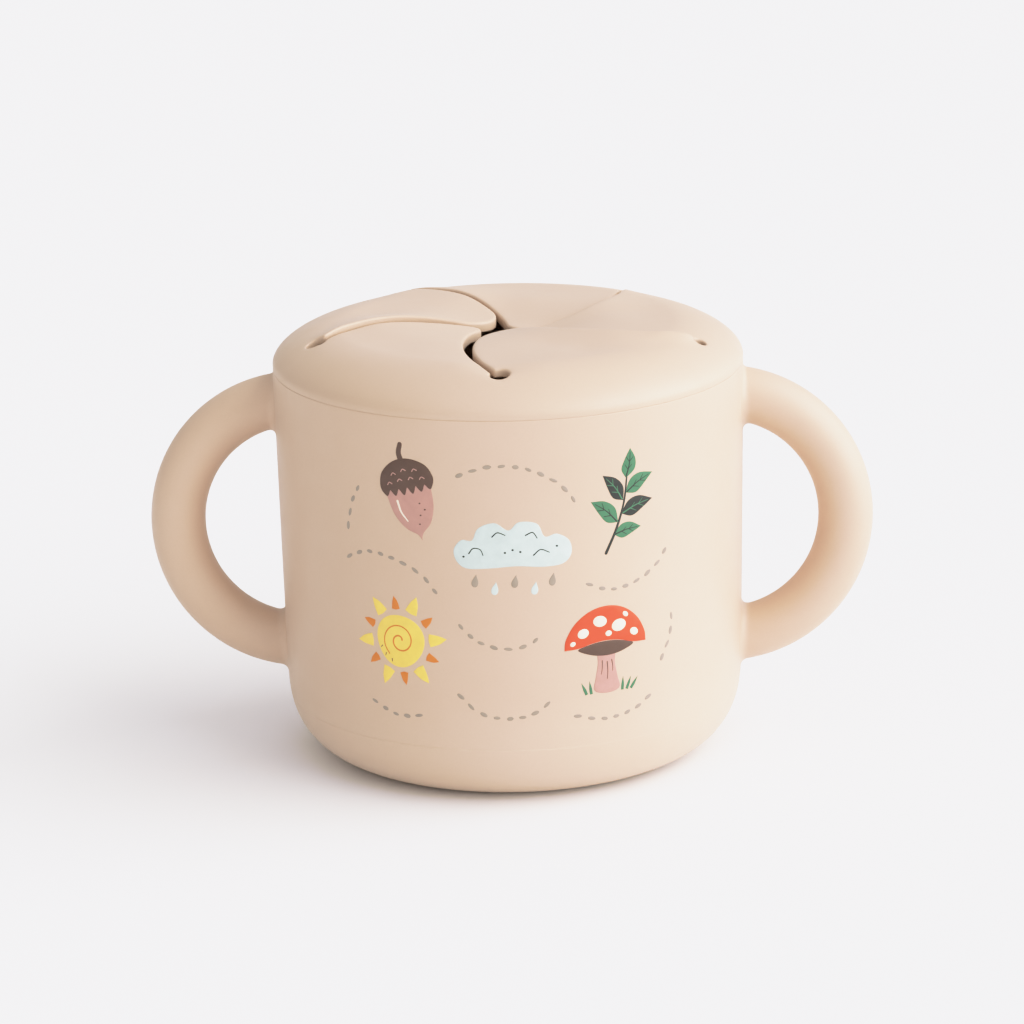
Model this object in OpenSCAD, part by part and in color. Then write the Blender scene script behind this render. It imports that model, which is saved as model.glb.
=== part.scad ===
// Soft silicone snack cup with two ring handles and a lift-off lid whose
// top is cut into five curved flaps.  Millimetres, +Z up, origin on the
// floor at the centre of the cup.  The front faces -Y, the handles are on X.

/* [Cup] */
// Outer radius of the cup and the lid where they meet
seam_r = 44; // [43:0.5:45]
// Height of the seam between the cup and the lid
seam_z = 74.5; // [73:0.5:76]
// How much the wall narrows for each millimetre down
wall_taper = 0.0137; // [0.012:0.0005:0.016]
// Radius of the rounded corner between the wall and the base
corner_r = 14.5; // [13:0.5:15.5]
// Thickness of the wall and of the base
wall_t = 3.3; // [3.1:0.1:3.5]
// Radius of the mouth that the lid's plug enters
mouth_r = 40.8; // [40.7:0.05:40.9]
// Height of the neck that stands up inside the rim
neck_h = 2; // [1.6:0.1:2]
// Thickness of the neck
neck_t = 1.4; // [1.3:0.05:1.4]
// Radius of the shallow recess under the base
recess_r = 24; // [20:1:26]
// Depth of the recess under the base
recess_d = 1; // [0.6:0.1:1.2]

/* [Handles] */
// Distance of each ring's centre from the cup's axis
ring_x = 39.6; // [39:0.1:40.2]
// Height of each ring's centre above the floor
ring_z = 44.2; // [43.5:0.1:45]
// Radius of the ring, to the middle of its bar
ring_r = 23.4; // [22.8:0.1:24]
// Radius of the round bar
bar_r = 5.3; // [5:0.1:5.6]

/* [Lid] */
// Height of the lid's flat top above the seam
top_h = 7; // [6.9:0.05:7.1]
// Thickness of the lid's top and of its flaps
lid_t = 2; // [1.8:0.1:2.1]
// Radial width of the rounded shoulder
shoulder_w = 12.94; // [12.6:0.02:13.2]
// Full height of the shoulder's curve
shoulder_h = 6.6; // [6.5:0.02:6.7]
// Straight height of the lid's edge above the seam
edge_h = 0.75; // [0.6:0.05:0.9]
// Roundness of the shoulder: 2 is an ellipse, less is flatter
shoulder_n = 1.665; // [1.6:0.005:1.75]
// Clearance between the cup's neck and the lid's channel
neck_gap = 0.1; // [0.08:0.01:0.15]
// Depth of the sealing plug below the seam
plug_depth = 4; // [3:0.25:5]
// Radial thickness of the sealing plug
plug_t = 1.9; // [1.6:0.1:2.2]
// How far the plug's two sealing ribs stand out
rib_h = 0.14; // [0.1:0.01:0.14]

/* [Flaps] */
// Radius of the circle that the relief holes lie on
hole_ring_r = 36.3; // [35.8:0.1:36.6]
// Radius of each relief hole
hole_r = 1.75; // [1.6:0.05:1.9]
// Radius of the curved cuts
cut_r = 31.3; // [31:0.1:31.6]
// Half the width of a cut
cut_half = 0.35; // [0.3:0.05:0.4]
// Height of each flap's crown above the lid's flat top
crown = 2.3; // [2:0.1:2.4]
// Radius of the rolled root that each flap bends about
root_r = 1.1; // [1.08:0.01:1.2]
// Gap between a flap's root and the lid
root_gap = 0.25; // [0.2:0.05:0.35]
// Radius of the small opening where the flap tips meet
tip_hole_r = 1.5; // [1.2:0.1:2]

/* [Hidden] */
$fn = 96;
e = 0.01;

peach = [0.87, 0.78, 0.69];
peach_handle = [0.85, 0.75, 0.66];
peach_lid = [0.88, 0.81, 0.73];

// outer wall: r = wall_r0 + wall_taper * z, corner circle touching it and z = 0
wall_k = sqrt(1 + wall_taper * wall_taper);
wall_r0 = seam_r - wall_taper * seam_z;
corner_x = wall_r0 + wall_taper * corner_r - corner_r * wall_k;
corner_a = atan(wall_taper);
in_corner_r = corner_r - wall_t;
mouth_z = seam_z - plug_depth - 1;

// points of an arc from angle a to angle b
function arc(cx, cy, r, a, b, n) =
    [for (i = [0 : n]) let (t = a + (b - a) * i / n)
        [cx + r * cos(t), cy + r * sin(t)]];

// heights on the shoulder: the curve runs from the edge up and inwards
function shoulder_z(t) = seam_z + edge_h + shoulder_h * pow(sin(t), 2 / shoulder_n);
function shoulder_r(t) = seam_r - shoulder_w + shoulder_w * pow(cos(t), 2 / shoulder_n);
// angle at which the curve reaches the flat top
top_t = asin(pow((top_h - edge_h) / shoulder_h, shoulder_n / 2));

channel_z = seam_z + neck_h + 0.2;
lid_top = seam_z + top_h;
lid_under = lid_top - lid_t;
plug_r = mouth_r - 0.2;

// flaps: each hinge line runs between two neighbouring relief holes
hinge_r = hole_ring_r * cos(36);
hinge_l = 2 * hole_ring_r * sin(36);
hinge_z = lid_top - lid_t / 2;
cut_a = acos(hole_ring_r / 2 / cut_r);      // from a hole's direction to its cut's centre
arch_r = (hinge_r * hinge_r / 4 + crown * crown) / (2 * crown);
arch_z = lid_top + crown - arch_r;

module cup_body()
    color(peach)
    rotate_extrude()
    polygon(concat(
        [[0, recess_d], [recess_r - 1, recess_d], [recess_r, 0]],
        arc(corner_x, corner_r, corner_r, -90, -corner_a, 24),
        [[seam_r, seam_z],
         [mouth_r + neck_t, seam_z],
         [mouth_r + neck_t, seam_z + neck_h - 0.3],
         [mouth_r + neck_t - 0.3, seam_z + neck_h],
         [mouth_r + 0.4, seam_z + neck_h],
         [mouth_r, seam_z + neck_h - 0.4],
         [mouth_r, mouth_z],
         [wall_r0 + wall_taper * (mouth_z - 1.5) - wall_t, mouth_z - 1.5]],
        arc(corner_x, corner_r, in_corner_r, -corner_a, -90, 20),
        [[0, corner_r - in_corner_r]]));

// one round-bar ring, cut off face to face with the wall
module handle(side)
    color(peach_handle)
    difference() {
        translate([side * ring_x, 0, ring_z]) rotate([90, 0, 0])
            rotate_extrude() translate([ring_r, 0]) circle(bar_r);
        translate([0, 0, corner_r]) cylinder(
            r1 = wall_r0 + wall_taper * corner_r,
            r2 = seam_r, h = seam_z - corner_r);
    }

module handle_left() handle(-1);
module handle_right() handle(1);

module lid_ring()
    color(peach_lid)
    difference() {
        rotate_extrude() polygon(concat(
            [[0, lid_under], [hole_ring_r - 2.1, lid_under],
             [mouth_r - 0.2 - plug_t - 0.4, channel_z + 0.9],
             [mouth_r - 0.2 - plug_t, channel_z],
             [mouth_r + neck_t + neck_gap, channel_z],
             [mouth_r + neck_t + neck_gap, seam_z],
             [seam_r, seam_z]],
            [for (i = [0 : 28]) let (t = top_t * i / 28) [shoulder_r(t), shoulder_z(t)]],
            [[0, lid_top]]));
        // opening for the flaps, a pentagon with a corner at each hole
        translate([0, 0, seam_z]) rotate([0, 0, 54])
            cylinder(r = (hinge_r + root_r + root_gap) / cos(36), h = 20, $fn = 5);
        for (i = [0 : 4]) rotate([0, 0, 54 + 72 * i])
            translate([hole_ring_r, 0, seam_z]) cylinder(r = hole_r, h = 20);
    }

// the part of the lid that goes into the cup's mouth, with two sealing ribs
module lid_plug()
    color(peach_lid)
    rotate_extrude() polygon([
        [plug_r - plug_t, channel_z],
        [plug_r - plug_t, seam_z - plug_depth + 0.5],
        [plug_r - plug_t + 0.5, seam_z - plug_depth],
        [plug_r - 0.7, seam_z - plug_depth],
        [plug_r, seam_z - plug_depth + 0.8],
        [plug_r, seam_z - 2.6],
        [plug_r + rib_h, seam_z - 2.3],
        [plug_r + rib_h, seam_z - 2.1],
        [plug_r, seam_z - 1.8],
        [plug_r, seam_z - 0.9],
        [plug_r + rib_h, seam_z - 0.6],
        [plug_r + rib_h, seam_z - 0.4],
        [plug_r, seam_z - 0.1],
        [plug_r, channel_z]]);

// one flap whose hinge lies in the direction az from the cup's axis
module flap(az)
    color(peach_lid)
    rotate([0, 0, az])
    difference() {
        intersection() {
            // arched plate with a rolled root
            rotate([90, 0, 0]) linear_extrude(height = hinge_l, center = true)
                union() {
                    intersection() {
                        difference() {
                            translate([hinge_r / 2, arch_z]) circle(arch_r);
                            translate([hinge_r / 2, arch_z]) circle(arch_r - lid_t);
                        }
                        translate([-5, lid_top - 12]) square([hinge_r + 5, 20]);
                    }
                    translate([hinge_r, hinge_z]) circle(root_r);
                }
            // inside its own curved cut
            rotate([0, 0, cut_a - 36]) translate([cut_r, 0, seam_z - 5])
                cylinder(r = cut_r - cut_half, h = 25);
        }
        // outside the next flap's cut
        rotate([0, 0, cut_a + 36]) translate([cut_r, 0, seam_z - 6])
            cylinder(r = cut_r + cut_half, h = 27);
        for (s = [-1, 1]) rotate([0, 0, 36 * s])
            translate([hole_ring_r, 0, seam_z - 6]) cylinder(r = hole_r, h = 27);
        translate([0, 0, seam_z - 6]) cylinder(r = tip_hole_r, h = 27);
    }

module flap_front_right() flap(306);
module flap_right() flap(18);
module flap_back() flap(90);
module flap_back_left() flap(162);
module flap_front_left() flap(234);

cup_body();
handle_left();
handle_right();
lid_ring();
lid_plug();
flap_front_right();
flap_right();
flap_back();
flap_back_left();
flap_front_left();
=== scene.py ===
import math

import bpy
import numpy as np
from mathutils import Matrix, Vector, geometry


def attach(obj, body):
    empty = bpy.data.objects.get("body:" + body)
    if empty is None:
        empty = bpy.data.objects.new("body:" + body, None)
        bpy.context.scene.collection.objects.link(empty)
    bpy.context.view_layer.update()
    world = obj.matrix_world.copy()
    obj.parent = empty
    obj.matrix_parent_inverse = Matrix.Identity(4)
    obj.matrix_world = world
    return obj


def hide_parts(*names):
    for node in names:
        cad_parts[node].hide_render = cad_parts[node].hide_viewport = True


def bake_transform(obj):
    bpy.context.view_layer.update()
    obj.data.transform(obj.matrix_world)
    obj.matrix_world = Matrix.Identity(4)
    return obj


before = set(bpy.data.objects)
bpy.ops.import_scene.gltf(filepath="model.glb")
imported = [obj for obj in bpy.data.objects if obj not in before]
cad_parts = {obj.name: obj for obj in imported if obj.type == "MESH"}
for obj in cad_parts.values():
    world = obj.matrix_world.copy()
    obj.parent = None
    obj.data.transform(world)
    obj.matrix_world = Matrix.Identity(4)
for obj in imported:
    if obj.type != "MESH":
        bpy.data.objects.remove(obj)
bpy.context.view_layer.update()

MM = 0.001
SEAM, RIM = 74.5, 44.0
TAPER = 0.0137
WALL0 = RIM - TAPER * SEAM          # wall radius carried down to the floor
CORNER = 14.5                       # corner between floor and wall, inside
KN = math.sqrt(1 + TAPER * TAPER)
CORNER_X = WALL0 + TAPER * CORNER - CORNER * KN
BASE_W, BASE_H, BASE_N = 15.0, 16.0, 2.4    # the outer corner: a squarish quarter oval
SEG = 288                           # segments round the cup and the lid


def wall_r(z):
    """Outer radius of the cup's wall, drawn in a little more towards the base."""
    return WALL0 + TAPER * z - 0.3 * np.maximum(0.0, 1.0 - np.asarray(z, float) / 60.0) ** 2


def outer_r(z):
    """Radius of the cup's outside at one height, the rounded base corner included."""
    c = max(0.0, 1.0 - z / BASE_H)
    return float(wall_r(z)) - BASE_W + BASE_W * max(0.0, 1.0 - c ** BASE_N) ** (1 / BASE_N)


def wall_normal(x, y, z):
    r = math.hypot(x, y)
    n = np.array([x / r, y / r, -(outer_r(z + 0.05) - outer_r(z - 0.05)) / 0.1])
    return n / np.linalg.norm(n)


# ------------------------------------------------------------------ camera
YAW, ELEV, ROLL, DIST = math.radians(1.9879), math.radians(14.4189), math.radians(-1.3132), 21.2745 * RIM
FOCAL = 5000.0                      # pixels in a frame 1024 wide
back = Vector((math.sin(YAW) * math.cos(ELEV), -math.cos(YAW) * math.cos(ELEV), math.sin(ELEV)))
side = Vector((math.cos(YAW), math.sin(YAW), 0))
up = back.cross(side)
cam_x = math.cos(ROLL) * side + math.sin(ROLL) * up
cam_y = -math.sin(ROLL) * side + math.cos(ROLL) * up
# turn the camera so that the seam's centre lies 152 px above the middle of the frame
ray = (-back * FOCAL + cam_x * (512 - 507.81) - cam_y * (512 - 360.03)).normalized()
cz = -ray
cx = (cam_x - cz * cam_x.dot(cz)).normalized()
cy = cz.cross(cx)
cam_data = bpy.data.cameras.new("camera")
cam_data.sensor_width = 36.0
cam_data.lens = FOCAL * 36.0 / 1024.0
cam_data.clip_start, cam_data.clip_end = 0.05, 20.0
cam = bpy.data.objects.new("camera", cam_data)
m = Matrix.Identity(4)
for i, axis in enumerate((cx, cy, cz)):
    for j in range(3):
        m[j][i] = axis[j]
pos = (back * DIST + Vector((0, 0, SEAM))) * MM
for j in range(3):
    m[j][3] = pos[j]
cam.matrix_world = m
bpy.context.scene.collection.objects.link(cam)
bpy.context.scene.camera = cam

# ------------------------------------------------------------------ materials


def new_mat(name):
    mat = bpy.data.materials.new(name)
    mat.use_nodes = True
    nt = mat.node_tree
    nt.nodes.clear()
    out = nt.nodes.new("ShaderNodeOutputMaterial")
    bsdf = nt.nodes.new("ShaderNodeBsdfPrincipled")
    nt.links.new(bsdf.outputs["BSDF"], out.inputs["Surface"])
    return mat, nt, bsdf


def noise(nt, coord, scale, detail=3.0, rough=0.5):
    n = nt.nodes.new("ShaderNodeTexNoise")
    n.inputs["Scale"].default_value = scale
    n.inputs["Detail"].default_value = detail
    n.inputs["Roughness"].default_value = rough
    nt.links.new(coord, n.inputs["Vector"])
    return n.outputs["Fac"]


def ramp(nt, fac, stops):
    r = nt.nodes.new("ShaderNodeValToRGB")
    el = r.color_ramp.elements
    while len(el) < len(stops):
        el.new(0.5)
    for e, (p, c) in zip(el, stops):
        e.position = p
        e.color = (*c, 1.0) if len(c) == 3 else c
    nt.links.new(fac, r.inputs["Fac"])
    return r.outputs["Color"]


def mix(nt, fac, a, b, kind="MIX"):
    x = nt.nodes.new("ShaderNodeMix")
    x.data_type = "RGBA"
    x.blend_type = kind
    if isinstance(fac, float):
        x.inputs["Factor"].default_value = fac
    else:
        nt.links.new(fac, x.inputs["Factor"])
    for sock, v in ((x.inputs[6], a), (x.inputs[7], b)):
        if isinstance(v, tuple):
            sock.default_value = (*v, 1.0)
        else:
            nt.links.new(v, sock)
    return x.outputs[2]


def to_range(nt, fac, lo, hi, a, b):
    r = nt.nodes.new("ShaderNodeMapRange")
    for k, v in zip((1, 2, 3, 4), (lo, hi, a, b)):
        r.inputs[k].default_value = v
    nt.links.new(fac, r.inputs[0])
    return r.outputs[0]


def silicone(name, tone, painted_floor_bounce=None):
    """Matte food-grade silicone: soft broad sheen, very fine grain, faint clouds of colour. An optional last colour is
    painted light: it is added to the bottom 22 mm, fading out upwards, a paler bottom standing in for light bounced up
    from the floor.
    """
    mat, nt, b = new_mat(name)
    co = nt.nodes.new("ShaderNodeTexCoord").outputs["Object"]
    r, g, bl = tone
    clouds = noise(nt, co, 55.0, 4.0, 0.55)
    col = ramp(nt, clouds, [(0.30, (r * 0.985, g * 0.978, bl * 0.970)), (0.70, (r * 1.015, g * 1.018, bl * 1.022))])
    grain = noise(nt, co, 2600.0, 2.0, 0.6)
    col = mix(nt, 0.35, col, ramp(nt, grain, [(0.25, (r * 0.96, g * 0.95, bl * 0.94)), (0.75, (r * 1.04, g * 1.04, bl * 1.04))]))
    # painted light: a paler, bluer bottom, fading out by 22 mm up, in place of bounce light from the floor
    if painted_floor_bounce:
        xyz = nt.nodes.new("ShaderNodeSeparateXYZ")
        nt.links.new(co, xyz.inputs[0])
        col = mix(nt, to_range(nt, xyz.outputs[2], 0.0, 0.022, 1.0, 0.0), col, painted_floor_bounce, "ADD")
    nt.links.new(col, b.inputs["Base Color"])
    rough = noise(nt, co, 180.0, 3.0, 0.6)
    nt.links.new(to_range(nt, rough, 0.3, 0.7, 0.45, 0.55), b.inputs["Roughness"])
    b.inputs["Specular IOR Level"].default_value = 0.8
    b.inputs["IOR"].default_value = 1.45
    b.inputs["Sheen Weight"].default_value = 0.1
    b.inputs["Sheen Roughness"].default_value = 0.45
    fine = nt.nodes.new("ShaderNodeBump")
    fine.inputs["Strength"].default_value = 0.16
    fine.inputs["Distance"].default_value = 0.00005
    nt.links.new(noise(nt, co, 3400.0, 2.0, 0.6), fine.inputs["Height"])
    broad = nt.nodes.new("ShaderNodeBump")
    broad.inputs["Strength"].default_value = 0.12
    broad.inputs["Distance"].default_value = 0.0004
    nt.links.new(noise(nt, co, 90.0, 2.0, 0.5), broad.inputs["Height"])
    nt.links.new(fine.outputs["Normal"], broad.inputs["Normal"])
    nt.links.new(broad.outputs["Normal"], b.inputs["Normal"])
    return mat


# the third colour is painted floor-bounce light for the cup's bottom, not a change in the silicone itself
CUP_MAT = silicone("cup_silicone", (0.597, 0.429, 0.328), (0.016, 0.036, 0.034))
# painted shade: the lid is the same silicone as the cup, set about 1 % darker to offset the stronger light on its top
LID_MAT = silicone("lid_silicone", (0.588, 0.426, 0.324))


def ink(name, tone):
    """Pad-printed silicone ink: even, a little smoother than the cup, faintly mottled."""
    mat, nt, b = new_mat(name)
    co = nt.nodes.new("ShaderNodeTexCoord").outputs["Object"]
    r, g, bl = tone
    col = ramp(nt, noise(nt, co, 420.0, 4.0, 0.6), [(0.3, (r * 0.93, g * 0.93, bl * 0.93)), (0.7, (min(1, r * 1.05), min(1, g * 1.05), min(1, bl * 1.05)))])
    nt.links.new(col, b.inputs["Base Color"])
    nt.links.new(to_range(nt, noise(nt, co, 300.0, 2.0, 0.5), 0.3, 0.7, 0.42, 0.54), b.inputs["Roughness"])
    b.inputs["Specular IOR Level"].default_value = 0.4
    bump = nt.nodes.new("ShaderNodeBump")
    bump.inputs["Strength"].default_value = 0.15
    bump.inputs["Distance"].default_value = 0.00004
    nt.links.new(noise(nt, co, 2200.0, 2.0, 0.6), bump.inputs["Height"])
    nt.links.new(bump.outputs["Normal"], b.inputs["Normal"])
    return mat


INKS = {
    "red": ink("ink_red", (0.70, 0.075, 0.030)),
    "green": ink("ink_green", (0.060, 0.185, 0.105)),
    "dark": ink("ink_dark", (0.026, 0.030, 0.030)),
    "yellow": ink("ink_yellow", (0.90, 0.62, 0.135)),
    "orange": ink("ink_orange", (0.66, 0.20, 0.035)),
    "mauve": ink("ink_mauve", (0.50, 0.275, 0.245)),
    "brown": ink("ink_brown", (0.105, 0.060, 0.048)),
    "blue": ink("ink_blue", (0.56, 0.66, 0.64)),
    "grey": ink("ink_grey", (0.33, 0.275, 0.235)),
    "cream": ink("ink_cream", (0.86, 0.74, 0.60)),
}

# ------------------------------------------------------------------ mesh helpers


def vertex_normals(co, faces):
    """Angle-weighted vertex normals of a polygon mesh."""
    nrm = np.zeros_like(co)
    by_len = {}
    for f in faces:
        by_len.setdefault(len(f), []).append(f)
    for n, fs in by_len.items():
        f = np.array(fs)
        p = co[f]
        fn = np.zeros((len(f), 3))
        for i in range(1, n - 1):
            fn += np.cross(p[:, i] - p[:, 0], p[:, i + 1] - p[:, 0])
        fn /= np.maximum(np.linalg.norm(fn, axis=1, keepdims=True), 1e-20)
        for i in range(n):
            a = p[:, (i + 1) % n] - p[:, i]
            b = p[:, i - 1] - p[:, i]
            la, lb = np.linalg.norm(a, axis=1), np.linalg.norm(b, axis=1)
            ang = np.arccos(np.clip((a * b).sum(1) / np.maximum(la * lb, 1e-20), -1, 1))
            ang[(la < 1e-9) | (lb < 1e-9)] = 0
            np.add.at(nrm, f[:, i], fn * ang[:, None])
    return nrm / np.maximum(np.linalg.norm(nrm, axis=1, keepdims=True), 1e-20)


def make(name, co, faces, mats, normals=None, index=None):
    """Mesh object from millimetre coordinates."""
    me = bpy.data.meshes.new(name)
    me.from_pydata((np.asarray(co) * MM).tolist(), [], [tuple(int(i) for i in f) for f in faces])
    for x in mats if isinstance(mats, (list, tuple)) else [mats]:
        me.materials.append(x)
    if index is not None:
        me.polygons.foreach_set("material_index", np.asarray(index, np.int32))
    me.polygons.foreach_set("use_smooth", [True] * len(me.polygons))
    me.update()
    if normals is not None:
        me.normals_split_custom_set_from_vertices([tuple(n) for n in normals])
    o = bpy.data.objects.new(name, me)
    bpy.context.scene.collection.objects.link(o)
    return o


def arc(x, y, r, a, b, n):
    return [(x + r * math.cos(math.radians(a + (b - a) * i / n)), y + r * math.sin(math.radians(a + (b - a) * i / n))) for i in range(n + 1)]


def revolve(profile, closed_start, closed_end):
    """Vertices and faces of a profile [(r, z)] turned round Z. A closed end comes to one point."""
    th = np.arange(SEG) * 2 * np.pi / SEG
    co, faces, rings = [], [], []
    for i, (r, z) in enumerate(profile):
        if r < 1e-6:
            rings.append([len(co)])
            co.append((0, 0, z))
        else:
            rings.append(list(range(len(co), len(co) + SEG)))
            co += [(r * math.cos(t), r * math.sin(t), z) for t in th]
    for a, b in zip(rings, rings[1:]):
        for i in range(SEG):
            j = (i + 1) % SEG
            if len(a) == 1:
                faces.append((a[0], b[j], b[i]))
            elif len(b) == 1:
                faces.append((a[i], a[j], b[0]))
            else:
                faces.append((a[i], a[j], b[j], b[i]))
    return np.array(co, float), faces


# ------------------------------------------------------------------ cup
RIDGE = 11.8                        # height of the fine mould line


def cup_profile():
    p = [(0, 1.0), (6, 1.0), (12, 1.0), (18, 1.0), (21.5, 1.0)]
    p += [(21.5 + 1.3 * math.sin(math.radians(t)), 1.0 - 0.0 - 0.5 * (1 - math.cos(math.radians(t)))) for t in (30, 60, 90)]
    p += [(22.8 + 1.2 * (1 - math.cos(math.radians(t))), 0.5 - 0.5 * math.sin(math.radians(t))) for t in (30, 60, 90)]
    p += [(25.2, 0.0), (26.8, 0.0)]
    a_end = -math.degrees(math.atan(TAPER))
    ridge = RIDGE
    heights = [BASE_H * (1 - math.cos(math.radians(t)) ** (2 / BASE_N)) for t in list(np.arange(3.0, 84.0, 2.0)) + [85.5, 87.5, 89.0]]
    heights = [z for z in heights if abs(z - ridge) > 0.5] + [ridge + d for d in (-0.32, -0.20, -0.12, -0.05, 0.0, 0.05, 0.12, 0.20, 0.32)]
    for z in sorted(heights):
        r = outer_r(z)
        p.append((r, z))
    z = BASE_H + 1.0
    while z < SEAM - 1.2:
        p.append((float(wall_r(z)), z))
        z += 2.4
    p += [(wall_r(SEAM - 0.9), SEAM - 0.9), (wall_r(SEAM - 0.45), SEAM - 0.45)]
    p += arc(wall_r(SEAM) - 0.55, SEAM - 0.01 - 0.55 * math.sin(math.radians(25)), 0.55, 0, 25, 5)
    p += [(43.3, SEAM - 0.01), (42.8, SEAM - 0.01)]
    p += arc(42.4, SEAM + 0.19, 0.2, 270, 180, 3)
    p += [(42.2, 75.6)]
    p += arc(41.9, 76.15, 0.3, 0, 90, 4)
    p += [(41.5, 76.45)]
    p += arc(41.15, 76.1, 0.35, 90, 180, 4)
    p += [(40.8, 75.0), (40.8, 73.0), (40.8, 71.0), (40.8, 69.9)]
    p += [(40.76, 69.4), (40.66, 68.9), (wall_r(68.4) - 3.32, 68.4)]
    z = 66.0
    while z > CORNER + 2:
        p.append((wall_r(z) - 3.3, z))
        z -= 3.0
    p += arc(CORNER_X, CORNER, CORNER - 3.3, a_end, -90, 22)
    p += [(24, 3.3), (18, 3.3), (12, 3.3), (6, 3.3), (0, 3.3)]
    return p


def mould_line(co):
    """Step the wall out just below the mould line: most at the front left, hardly at the front right."""
    r = np.hypot(co[:, 0], co[:, 1])
    d = co[:, 2] - RIDGE
    shape = np.cos(np.clip(np.where(d > 0, d / 0.22, -d / 5), 0, 1) * np.pi / 2) ** 1.5
    away = np.abs((np.degrees(np.arctan2(co[:, 1], co[:, 0])) + 115 + 180) % 360 - 180)
    t = np.clip((away - 22) / 34, 0, 1)
    high = 0.12 - 0.10 * t * t * (3 - 2 * t)
    k = 1 + np.where(r > 41.5, high * shape, 0) / np.maximum(r, 1)
    co[:, 0] *= k
    co[:, 1] *= k
    return co


co, faces = revolve(cup_profile(), True, True)
co = mould_line(co)
cup = make("cup", co, faces, CUP_MAT, vertex_normals(co, faces))
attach(cup, "cup")
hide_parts("cup_body")


# ------------------------------------------------------------------ handles
def handle(sign, name, node):
    X0, Z0, A, B, RT = 39.9, 44.05, 23.1, 23.66, 5.15
    NW, NL, NF = 72, 84, 9

    def path(t):
        return np.array([X0 + A * math.cos(t), 0.0, Z0 + B * math.sin(t)])

    def nrm(t):
        n = np.array([math.cos(t) / A, 0.0, math.sin(t) / B])
        return n / np.linalg.norm(n)

    def point(t, w):
        # the bar is a touch flatter on its sides than round
        return path(t) + RT * (math.cos(w) * nrm(t) + 0.985 * math.sin(w) * np.array([0.0, 1.0, 0.0]))

    def gap(p):
        return math.hypot(p[0], p[1]) - outer_r(p[2])

    def solve(w, want, top):
        lo, hi = 0.0, math.radians(118)
        for _ in range(46):
            mid = (lo + hi) / 2
            if gap(point(mid if top else -mid, w)) > want:
                lo = mid
            else:
                hi = mid
        return (lo if top else -lo)

    co, ends = [], []
    rows = []
    for i in range(NW):
        w = 2 * math.pi * i / NW
        col = []
        for top in (False, True):
            t_hit = solve(w, 0.0, top)
            outer = max(0.0, math.cos(w))
            reach = 1.9 - outer * (1.0 if top else 0.35)
            t_start = solve(w, reach * 0.92, top)
            p0, p1 = point(t_start, w), point(t_hit, w)
            wn = wall_normal(*p1)
            out = math.cos(w) * nrm(t_hit) + math.sin(w) * np.array([0.0, 1.0, 0.0])
            tang = out - wn * (out @ wn)
            tang /= np.linalg.norm(tang)
            p2 = p1 + tang * reach
            zz = p2[2]
            k = (outer_r(zz) - 0.012) / math.hypot(p2[0], p2[1])
            p2 = np.array([p2[0] * k, p2[1] * k, zz])
            fil = []
            for j in range(NF + 1):
                s = j / NF
                q = (1 - s) ** 2 * p0 + 2 * s * (1 - s) * p1 + s * s * p2
                fil.append(q)
            k2 = (outer_r(zz) - 1.2) / math.hypot(p2[0], p2[1])
            inner = np.array([p2[0] * k2, p2[1] * k2, zz])
            col.append((t_start, fil, inner))
        rows.append(col)
    # columns of points from the lower end to the upper end
    grid = []
    for w_i, col in enumerate(rows):
        w = 2 * math.pi * w_i / NW
        (tb, fb, ib), (tt, ft, it) = col
        line = [ib] + fb[::-1]
        for j in range(1, NL):
            t = tb + (tt - tb) * j / NL
            line.append(point(t, w))
        line += ft + [it]
        grid.append(line)
    n = len(grid[0])
    co = np.array([p for line in grid for p in line])
    faces = []
    for i in range(NW):
        i2 = (i + 1) % NW
        for j in range(n - 1):
            faces.append((i * n + j, i * n + j + 1, i2 * n + j + 1, i2 * n + j))
    vis = list(faces)
    # normals: from the visible skin only, and the wall's own at its rim
    vis = [f for f in faces if not ({f[0] % n, f[1] % n} & {0, n - 1})]
    nr = vertex_normals(co, vis)
    q = co[np.array(faces)]
    if np.einsum("ij,ij->", q[:, 0], np.cross(q[:, 1], q[:, 2]) + np.cross(q[:, 2], q[:, 3])) < 0:
        nr = -nr
    for i in range(NW):
        for j in (0, 1, n - 2, n - 1):
            nr[i * n + j] = wall_normal(*co[i * n + j])
    # caps inside the wall
    for j, flip in ((0, False), (n - 1, True)):
        c = co[[i * n + j for i in range(NW)]].mean(0)
        co = np.vstack([co, c])
        nr = np.vstack([nr, [[-1, 0, 0]]])
        for i in range(NW):
            a, b = i * n + j, ((i + 1) % NW) * n + j
            faces.append((b, a, len(co) - 1) if flip else (a, b, len(co) - 1))
    if sign < 0:
        co = co * np.array([-1.0, 1.0, 1.0])
        nr = nr * np.array([-1.0, 1.0, 1.0])
        faces = [tuple(reversed(f)) for f in faces]
    # faces must look outwards
    f = faces[len(faces) // 2]
    p = co[list(f)]
    fn = np.cross(p[1] - p[0], p[2] - p[0])
    if fn @ nr[f[0]] < 0:
        faces = [tuple(reversed(f)) for f in faces]
    o = make(name, co, faces, CUP_MAT, nr)
    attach(o, "cup")
    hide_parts(node)
    return o


handle(-1, "ring_handle_left", "handle_left")
handle(1, "ring_handle_right", "handle_right")

# ------------------------------------------------------------------ lid
DOME_W, DOME_H, EDGE = 12.94, 6.6, 0.75
KAPPA = 0.4253
_u = np.linspace(0, 1, 6001)
_bx = lambda p0, p1, p2, p3: (1 - _u) ** 3 * p0 + 3 * _u * (1 - _u) ** 2 * p1 + 3 * _u ** 2 * (1 - _u) * p2 + _u ** 3 * p3
DR = _bx(RIM, RIM, RIM - DOME_W + KAPPA * DOME_W, RIM - DOME_W)
DZ = _bx(EDGE, EDGE + KAPPA * DOME_H, EDGE + DOME_H, EDGE + DOME_H)
PLATEAU_R = RIM - DOME_W


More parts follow.
